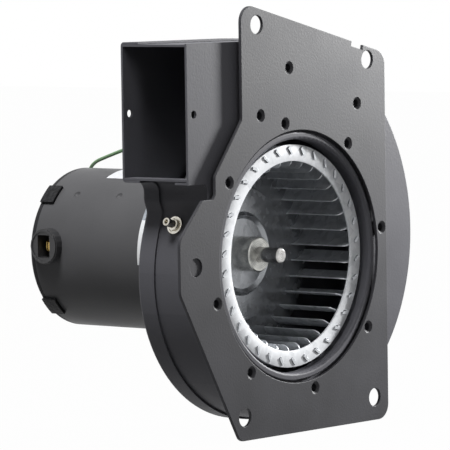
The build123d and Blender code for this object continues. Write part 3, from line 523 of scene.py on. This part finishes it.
def finish_piece(piece, body, material, replaced, smooth=32):
    """Shading, finish, body and slot of the piece, and the CAD node that it stands for."""
    only(piece)
    bpy.ops.object.shade_smooth_by_angle(angle=radians(smooth))
    piece.data.materials.clear()
    piece.data.materials.append(material)
    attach(piece, body)
    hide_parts(replaced)


def on_circle(radius, angle, y):
    """The point at y on a circle about the shaft's axis, its angle from +X up to +Z in degrees."""
    return (radius * cos(radians(angle)), y, radius * sin(radians(angle)))


# Wheel's front ring: flat zinc-coated ring with an oval opening round each blade tab. The openings
# lean by OPENING_LEAN and are OPENING_SIZE long and wide.
RING_RADIUS = 57.15
EYE_RADIUS = 48.6
RING_BACK = 6.7
RING_THICKNESS = 1.0
BLADES = 34
OPENING_RADIUS = 54.05
OPENING_ANGLE = 5.6
OPENING_LEAN = 44.2
OPENING_SIZE = (5.0, 2.3)
RING_EDGE = 0.3
ring = add_bar("wheel_tab_ring", (0, RING_BACK, 0), FORWARDS, RING_RADIUS, RING_THICKNESS, 4 * BLADES)
only(ring)
bpy.ops.object.mode_set(mode="EDIT")
bpy.ops.mesh.select_mode(type="FACE")
ring_mesh = bmesh.from_edit_mesh(ring.data)
for face in ring_mesh.faces:
    face.select_set(abs(face.normal.y) > FLAT)
bmesh.update_edit_mesh(ring.data)
bpy.ops.mesh.inset(thickness=(RING_RADIUS - EYE_RADIUS) * MM)
bpy.ops.mesh.bridge_edge_loops()
bpy.ops.object.mode_set(mode="OBJECT")
apply_bevel(ring, RING_EDGE)
opening = add_bar("opening_cutter", on_circle(OPENING_RADIUS, OPENING_ANGLE, RING_BACK + RING_THICKNESS),
                  FORWARDS, OPENING_SIZE[1] / 2, 3 * RING_THICKNESS, 20)
only(opening)
bpy.ops.object.mode_set(mode="EDIT")
bpy.ops.mesh.select_all(action="SELECT")
centre = Vector(on_circle(OPENING_RADIUS, OPENING_ANGLE, RING_BACK)) * MM
bpy.ops.transform.resize(value=(OPENING_SIZE[0] / OPENING_SIZE[1], 1, 1), center_override=centre)
bpy.ops.object.mode_set(mode="OBJECT")
opening.data.transform(Matrix.Translation(centre) @ Matrix.Rotation(-radians(OPENING_LEAN), 4, "Y")
                       @ Matrix.Translation(-centre))
cut_with(ring, copies_around(opening, BLADES))
finish_piece(ring, "rotor", ring_zinc, "wheel_front_ring")

# Pressure tap: a flange with a dish in it, the stepped nipple that stands in the dish, its bore, and
# the thread behind the flange, one ridge a turn
TAP_PLACE = Vector((-67.41, 25.7, 19.10))
TAP_AXIS = Vector((-0.94834, 0, 0.31725))
TAP_FLANGE_RADIUS = 4.6
TAP_FLANGE_DEPTH = 1.4
TAP_NIPPLE = [(0.9, -0.8), (0.7, 2.2), (0.9, 1.9), (0.0, 0.7), (0.0, 2.6)]
TAP_BORE = [(1.0, -5.0)]
TAP_THREAD_RADIUS = 2.4
TAP_THREAD_START = 0.4
TAP_THREAD_TURN = [(0.3, 0.35), (-0.3, 0.4)]
TAP_THREAD_TURNS = 5
TAP_EDGE = 0.15
tap = add_bar("tap_nipple", TAP_PLACE, TAP_AXIS, TAP_FLANGE_RADIUS, TAP_FLANGE_DEPTH)
turn_steps(tap, TAP_AXIS, TAP_NIPPLE)
turn_steps(tap, TAP_AXIS, TAP_BORE)
thread = add_bar("tap_thread", TAP_PLACE, -TAP_AXIS, TAP_THREAD_RADIUS, TAP_THREAD_START, 32)
turn_steps(thread, -TAP_AXIS, TAP_THREAD_TURN * TAP_THREAD_TURNS)
tap = join_all([tap, thread])
apply_bevel(tap, TAP_EDGE)
finish_piece(tap, "housing", nickel, "pressure_tap")

# Power socket: neck through the shell, faceted grip, and a round face with a rim and a recess
SOCKET_AXIS = Vector((-1, 0, 0))
SOCKET_Y = 135.3
SOCKET_Z = 3.2
SOCKET_INNER_X = -35.5
SOCKET_SIDES = 20
SOCKET_NECK_RADIUS = 8.0
SOCKET_NECK_LENGTH = 4.4
SOCKET_GRIP_AND_RIM = [(-1.3, 5.9), (0.5, 0.7), (0.9, -0.5)]
RECESS_MIDDLE_X = -42.0
RECESS_SIZE = (10.0, 8.2, 12.0)
RECESS_CORNER = 0.7
SOCKET_EDGE = 0.2
SOCKET_SMOOTH = 15
socket = add_bar("moulded_socket", (SOCKET_INNER_X, SOCKET_Y, SOCKET_Z), SOCKET_AXIS, SOCKET_NECK_RADIUS,
                 SOCKET_NECK_LENGTH, SOCKET_SIDES)
turn_steps(socket, SOCKET_AXIS, SOCKET_GRIP_AND_RIM)
recess = add_block("recess_cutter", (RECESS_MIDDLE_X, SOCKET_Y, SOCKET_Z), RECESS_SIZE)
apply_bevel(recess, RECESS_CORNER, 3)
cut_with(socket, recess)
apply_bevel(socket, SOCKET_EDGE, 2, 25)
finish_piece(socket, "housing", nylon, "power_socket", smooth=SOCKET_SMOOTH)


# Two flat brass blades in the recess, side by side; each has its outer corners rounded by CONTACT_TIP
CONTACT_THICKNESS = 0.8
CONTACT_WIDTH = 6.3
CONTACT_TIP = 1.7
CONTACT_EDGE = 0.12


def add_contact(name, x, y, length):
    """A contact blade of that length with its middle at x and y."""
    contact = add_block(name, (x, y, SOCKET_Z), (length, CONTACT_THICKNESS, CONTACT_WIDTH))
    only(contact)
    bpy.ops.object.mode_set(mode="EDIT")
    bpy.ops.mesh.select_mode(type="EDGE")
    bpy.ops.mesh.select_all(action="DESELECT")
    mesh = bmesh.from_edit_mesh(contact.data)
    outer = min(vertex.co.x for vertex in mesh.verts)
    for edge in mesh.edges:
        at_end = all(abs(vertex.co.x - outer) < NEAR for vertex in edge.verts)
        edge.select_set(at_end and abs(edge.verts[0].co.z - edge.verts[1].co.z) < NEAR)
    bmesh.update_edit_mesh(contact.data)
    bpy.ops.mesh.bevel(offset=CONTACT_TIP * MM, segments=3)
    bpy.ops.object.mode_set(mode="OBJECT")
    return contact


contacts = join_all([
    add_contact("socket_contacts", -40.5, 133.3, 7.0),
    add_contact("short_contact", -39.25, 137.3, 4.5),
])
apply_bevel(contacts, CONTACT_EDGE)
finish_piece(contacts, "housing", brass, "power_terminals")

# Through bolts: hexagon head, stepped and dished at its end, with a round washer face under it, on a
# plain shank with a chamfered tip. The pieces of a bolt overlap a little.
MOTOR_REAR = 149.0
BOLTS = 4
BOLT_TIP = 45.0
BOLT_CIRCLE = 36.05
BOLT_ANGLE = 45
WASHER_RADIUS = 3.1
WASHER_DEPTH = 0.3
HEX_RADIUS = 3.67
HEX_DEPTH = 2.3
HEX_OVERLAP = 0.05
HEX_TOP = [(0.0, 0.25), (0.5, 0.15), (0.5, 0.0), (0.6, -0.2)]
SHANK_RADIUS = 2.08
SHANK_OVERLAP = 0.1
TIP_CHAMFER = 0.4
BOLT_EDGE = 0.18
head = add_bar("motor_bolts", on_circle(BOLT_CIRCLE, BOLT_ANGLE, MOTOR_REAR), BACKWARDS, WASHER_RADIUS,
               WASHER_DEPTH, 36)
hexagon = add_bar("bolt_hexagon", on_circle(BOLT_CIRCLE, BOLT_ANGLE, MOTOR_REAR + WASHER_DEPTH - HEX_OVERLAP),
                  BACKWARDS, HEX_RADIUS, HEX_DEPTH, 6)
turn_steps(hexagon, BACKWARDS, HEX_TOP)
shank = add_bar("bolt_shank", on_circle(BOLT_CIRCLE, BOLT_ANGLE, MOTOR_REAR + SHANK_OVERLAP), FORWARDS,
                SHANK_RADIUS, MOTOR_REAR - BOLT_TIP - TIP_CHAMFER, 24)
turn_steps(shank, FORWARDS, [(TIP_CHAMFER, TIP_CHAMFER)])
bolt = join_all([head, hexagon, shank])
apply_bevel(bolt, BOLT_EDGE)
bolts = copies_around(bolt, BOLTS)
finish_piece(bolts, "housing", zinc_plate, "through_bolts")

# Ground screws: domed pan heads with a slot, one on the end cap and one on the back cover
CAP_SEAT = Vector((18.0, 149.8, 8.0))
COVER_SEAT = Vector((-24.0, 47.4, 93.0))
SCREW_HEAD_RADIUS = 3.6
SCREW_HEAD_DEPTH = 1.1
SCREW_DOME = [(0.25, 0.5), (0.6, 0.35), (0.9, 0.2)]
SLOT_MIDDLE = 2.2
SLOT_SIZE = (8.0, 2.0, 0.9)
SCREW_SHANK_RADIUS = 1.9
SCREW_SHANK_LENGTH = 3.4
SCREW_TIP = [(0.5, 0.4)]
SCREW_EDGE = 0.1
screw = add_bar("ground_screw_pair", CAP_SEAT, BACKWARDS, SCREW_HEAD_RADIUS, SCREW_HEAD_DEPTH, 40)
turn_steps(screw, BACKWARDS, SCREW_DOME)
cut_with(screw, add_block("slot_cutter", CAP_SEAT + BACKWARDS * SLOT_MIDDLE, SLOT_SIZE))
screw_shank = add_bar("screw_shank", CAP_SEAT + BACKWARDS * SHANK_OVERLAP, FORWARDS, SCREW_SHANK_RADIUS,
                      SCREW_SHANK_LENGTH, 24)
turn_steps(screw_shank, FORWARDS, SCREW_TIP)
screw = join_all([screw, screw_shank])
apply_bevel(screw, SCREW_EDGE)
cover_screw = screw.copy()
cover_screw.data = screw.data.copy()
cover_screw.data.transform(Matrix.Translation((COVER_SEAT - CAP_SEAT) * MM))
bpy.context.collection.objects.link(cover_screw)
screws = join_all([screw, cover_screw])
finish_piece(screws, "housing", zinc_plate, "ground_screws")


# White floor and background: white where the camera, a reflection or a pane looks, dim for the rest
def white_rays(owner):
    """1 for the camera's, glossy and transmission rays of a material or the world, otherwise 0."""
    rays = add_node(owner, "ShaderNodeLightPath")
    white = rays.outputs["Is Camera Ray"]
    for kind in ("Is Glossy Ray", "Is Transmission Ray"):
        white = add_node(owner, "ShaderNodeMath", {"operation": "MAXIMUM"}, _0=white,
                         _1=rays.outputs[kind]).outputs[0]
    return white


# Matt grey paper, 8 m wide; WHITE_SHARE is the share of white over it, and the rest of it keeps the
# object's shadow
FLOOR_BELOW = 0.5 * MM
FLOOR_SIZE = 8
WHITE_SHARE = 0.985
bpy.ops.mesh.primitive_plane_add(size=FLOOR_SIZE, location=(0, 0, cad_box[0].z - FLOOR_BELOW))
floor = bpy.context.object
floor.name = "studio_floor"
paper, paper_surface = new_material("grey_studio_paper", "#4a4a4a", Roughness=0.9)
seen = add_node(paper, "ShaderNodeMath", {"operation": "MULTIPLY"}, _0=white_rays(paper), _1=WHITE_SHARE)
glow = add_node(paper, "ShaderNodeEmission", Color=(1, 1, 1, 1), Strength=1.0)
lit_paper = add_node(paper, "ShaderNodeMixShader", _0=seen.outputs[0], _1=paper_surface.outputs[0],
                     _2=glow.outputs[0])
paper.node_tree.links.new(lit_paper.outputs[0], paper.node_tree.nodes["Material Output"].inputs["Surface"])
floor.data.materials.append(paper)

# World, whose AMBIENT strength lights the object from all sides
AMBIENT = 0.052
world = bpy.data.worlds.new("studio")
bpy.context.scene.world = world
world.use_nodes = True
ambient = world.node_tree.nodes["Background"]
ambient.inputs["Color"].default_value = (1, 1, 1, 1)
ambient.inputs["Strength"].default_value = AMBIENT
backdrop = add_node(world, "ShaderNodeBackground", Color=(1, 1, 1, 1), Strength=1.0)
sky = add_node(world, "ShaderNodeMixShader", _0=white_rays(world), _1=ambient.outputs[0],
               _2=backdrop.outputs[0])
world.node_tree.links.new(sky.outputs[0], world.node_tree.nodes["World Output"].inputs["Surface"])


def softbox(name, place, size, power):
    """A square lamp, aimed at the inlet, with its place and size in metres and its power in watts."""
    place = Vector(place)
    bpy.ops.object.light_add(type="AREA", location=place)
    lamp = bpy.context.object
    lamp.name = name
    lamp.data.size = size
    lamp.data.energy = power
    lamp.rotation_mode = "QUATERNION"
    lamp.rotation_quaternion = (-place).to_track_quat("-Z", "Y")


# The key grazes the plate from the right, one lamp lights the top, and a weak one the wheel's inside
softbox("key_softbox", (0.62, -0.17, 0.17), 0.09, 10.9)
softbox("top_left_softbox", (-0.52, 0.0, 1.0), 0.35, 15)
softbox("camera_side_softbox", (-0.45, -1.1, 0.45), 0.2, 1.2)

bpy.context.scene.view_settings.view_transform = "Standard"
